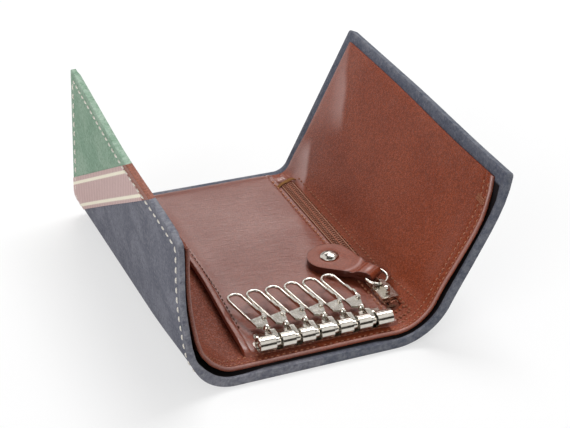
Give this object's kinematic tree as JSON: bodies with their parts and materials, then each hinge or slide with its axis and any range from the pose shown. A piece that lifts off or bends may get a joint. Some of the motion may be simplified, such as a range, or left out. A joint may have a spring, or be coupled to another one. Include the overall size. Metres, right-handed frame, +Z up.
{
  "type": "key case",
  "caption": "Leather key case that folds shut over snap hooks on a bar, with a zip pocket, a leather zip pull and a ribbon across one flap, standing open.",
  "frame": {"origin": "middle of the centre panel's underside, on the surface that the case stands on", "axes": "+Z up, +Y along the folds to the back edge, +X to the flap beside the zip; the hooks are at the front"},
  "size_m": [0.1155, 0.115, 0.0593],
  "materials": {
    "navy_leather": "matte nubuck with light scuffs",
    "green_leather": "matte nubuck",
    "lining_leather": "smooth, glossy",
    "tab_leather": "smooth, glossy",
    "strap_leather": "smooth",
    "ribbon": "woven twill",
    "board": "plain",
    "pocket_cloth": "plain weave",
    "zip_tape": "woven tape",
    "zip_nylon": "coil of nylon",
    "thread": "bonded thread",
    "nickel": "bright nickel plate"
  },
  "bodies": {
    "centre": {"cover_centre": "navy_leather", "cover_fold_right": "navy_leather", "cover_fold_left": "navy_leather", "board_centre": "board", "lining_centre": "lining_leather", "lining_fold_right": "lining_leather", "lining_fold_left": "lining_leather", "pocket_bag": "pocket_cloth", "key_panel": "lining_leather", "zip_tape_left": "zip_tape", "zip_tape_right": "zip_tape", "zip_coil_left": "zip_nylon", "zip_coil_right": "zip_nylon", "zip_stops": "thread", "hook_bar": "nickel", "hook_rod": "nickel", "bar_rivets": "nickel"},
    "right_flap": {"cover_right": "navy_leather", "board_right": "board", "lining_right": "lining_leather"},
    "left_flap": {"cover_left": "navy_leather", "green_corner": "green_leather", "ribbon_strap": "strap_leather", "ribbon": "ribbon", "board_left": "board", "lining_left": "lining_leather"},
    "slider": {"zip_slider": "nickel"},
    "ring": {"pull_ring": "nickel"},
    "pull": {"pull_tab": "tab_leather", "pull_rivet": "nickel"},
    "hook_1_link": {"hook_1_link": "nickel"},
    "hook_1": {"hook_1_plate": "nickel", "hook_1_loop": "nickel"},
    "hook_1_gate": {"hook_1_gate": "nickel"},
    "hook_2_link": {"hook_2_link": "nickel"},
    "hook_2": {"hook_2_plate": "nickel", "hook_2_loop": "nickel"},
    "hook_2_gate": {"hook_2_gate": "nickel"},
    "hook_3_link": {"hook_3_link": "nickel"},
    "hook_3": {"hook_3_plate": "nickel", "hook_3_loop": "nickel"},
    "hook_3_gate": {"hook_3_gate": "nickel"},
    "hook_4_link": {"hook_4_link": "nickel"},
    "hook_4": {"hook_4_plate": "nickel", "hook_4_loop": "nickel"},
    "hook_4_gate": {"hook_4_gate": "nickel"},
    "hook_5_link": {"hook_5_link": "nickel"},
    "hook_5": {"hook_5_plate": "nickel", "hook_5_loop": "nickel"},
    "hook_5_gate": {"hook_5_gate": "nickel"},
    "hook_6_link": {"hook_6_link": "nickel"},
    "hook_6": {"hook_6_plate": "nickel", "hook_6_loop": "nickel"},
    "hook_6_gate": {"hook_6_gate": "nickel"}
  },
  "joints": [
    {"name": "right_fold", "type": "hinge", "parent": "centre", "child": "right_flap", "pos_m": [0.03404, 0, 0.0092], "axis": [0, 1, 0], "range_deg": [-113.5, 66.5], "deforming": ["cover_fold_right", "lining_fold_right"]},
    {"name": "left_fold", "type": "hinge", "parent": "centre", "child": "left_flap", "pos_m": [-0.03404, 0, 0.0116], "axis": [0, -1, 0], "range_deg": [-95.5, 80], "deforming": ["cover_fold_left", "lining_fold_left"]},
    {"name": "zip_slide", "type": "slide", "parent": "centre", "child": "slider", "axis": [0, 1, 0], "range_m": [0, 0.0724]},
    {"name": "ring_swing", "type": "hinge", "parent": "slider", "child": "ring", "pos_m": [0.03284, -0.03342, 0.00905], "axis": [1, 0, 0], "range_deg": [0, 100]},
    {"name": "pull_swing", "type": "hinge", "parent": "ring", "child": "pull", "pos_m": [0.03207, -0.02807, 0.0098], "axis": [0.8763, 0.4771, 0.067], "range_deg": [0, 65]},
    {"name": "hook_1_swing", "type": "hinge", "parent": "centre", "child": "hook_1_link", "pos_m": [-0.01394, -0.051, 0.0087], "axis": [1, 0, 0], "range_deg": [0, 180]},
    {"name": "hook_1_swivel", "type": "hinge", "parent": "hook_1_link", "child": "hook_1", "pos_m": [-0.01394, -0.04564, 0.00912], "axis": [-0.225, 0.9714, 0.0764], "continuous": true},
    {"name": "hook_1_gate_turn", "type": "hinge", "parent": "hook_1", "child": "hook_1_gate", "pos_m": [-0.01329, -0.03912, 0.00963], "axis": [0, -0.0785, 0.9969], "range_deg": [0, 22], "stiffness_Nm_per_rad": 0.001, "springref_deg": -8.59},
    {"name": "hook_2_swing", "type": "hinge", "parent": "centre", "child": "hook_2_link", "pos_m": [-0.00708, -0.051, 0.0087], "axis": [1, 0, 0], "range_deg": [0, 180]},
    {"name": "hook_2_swivel", "type": "hinge", "parent": "hook_2_link", "child": "hook_2", "pos_m": [-0.00708, -0.04564, 0.00912], "axis": [-0.225, 0.9714, 0.0764], "continuous": true},
    {"name": "hook_2_gate_turn", "type": "hinge", "parent": "hook_2", "child": "hook_2_gate", "pos_m": [-0.00644, -0.03912, 0.00963], "axis": [0, -0.0785, 0.9969], "range_deg": [0, 22], "stiffness_Nm_per_rad": 0.001, "springref_deg": -8.59},
    {"name": "hook_3_swing", "type": "hinge", "parent": "centre", "child": "hook_3_link", "pos_m": [-0.00023, -0.051, 0.0087], "axis": [1, 0, 0], "range_deg": [0, 180]},
    {"name": "hook_3_swivel", "type": "hinge", "parent": "hook_3_link", "child": "hook_3", "pos_m": [-0.00023, -0.04564, 0.00912], "axis": [-0.225, 0.9714, 0.0764], "continuous": true},
    {"name": "hook_3_gate_turn", "type": "hinge", "parent": "hook_3", "child": "hook_3_gate", "pos_m": [0.00042, -0.03912, 0.00963], "axis": [0, -0.0785, 0.9969], "range_deg": [0, 22], "stiffness_Nm_per_rad": 0.001, "springref_deg": -8.59},
    {"name": "hook_4_swing", "type": "hinge", "parent": "centre", "child": "hook_4_link", "pos_m": [0.00663, -0.051, 0.0087], "axis": [1, 0, 0], "range_deg": [0, 180]},
    {"name": "hook_4_swivel", "type": "hinge", "parent": "hook_4_link", "child": "hook_4", "pos_m": [0.00663, -0.04564, 0.00912], "axis": [-0.225, 0.9714, 0.0764], "continuous": true},
    {"name": "hook_4_gate_turn", "type": "hinge", "parent": "hook_4", "child": "hook_4_gate", "pos_m": [0.00727, -0.03912, 0.00963], "axis": [0, -0.0785, 0.9969], "range_deg": [0, 22], "stiffness_Nm_per_rad": 0.001, "springref_deg": -8.59},
    {"name": "hook_5_swing", "type": "hinge", "parent": "centre", "child": "hook_5_link", "pos_m": [0.01348, -0.051, 0.0087], "axis": [1, 0, 0], "range_deg": [0, 180]},
    {"name": "hook_5_swivel", "type": "hinge", "parent": "hook_5_link", "child": "hook_5", "pos_m": [0.01348, -0.04564, 0.00912], "axis": [-0.225, 0.9714, 0.0764], "continuous": true},
    {"name": "hook_5_gate_turn", "type": "hinge", "parent": "hook_5", "child": "hook_5_gate", "pos_m": [0.01413, -0.03912, 0.00963], "axis": [0, -0.0785, 0.9969], "range_deg": [0, 22], "stiffness_Nm_per_rad": 0.001, "springref_deg": -8.59},
    {"name": "hook_6_swing", "type": "hinge", "parent": "centre", "child": "hook_6_link", "pos_m": [0.02034, -0.051, 0.0087], "axis": [1, 0, 0], "range_deg": [0, 180]},
    {"name": "hook_6_swivel", "type": "hinge", "parent": "hook_6_link", "child": "hook_6", "pos_m": [0.02034, -0.04564, 0.00912], "axis": [-0.225, 0.9714, 0.0764], "continuous": true},
    {"name": "hook_6_gate_turn", "type": "hinge", "parent": "hook_6", "child": "hook_6_gate", "pos_m": [0.02099, -0.03912, 0.00963], "axis": [0, -0.0785, 0.9969], "range_deg": [0, 22], "stiffness_Nm_per_rad": 0.001, "springref_deg": -8.59}
  ]
}
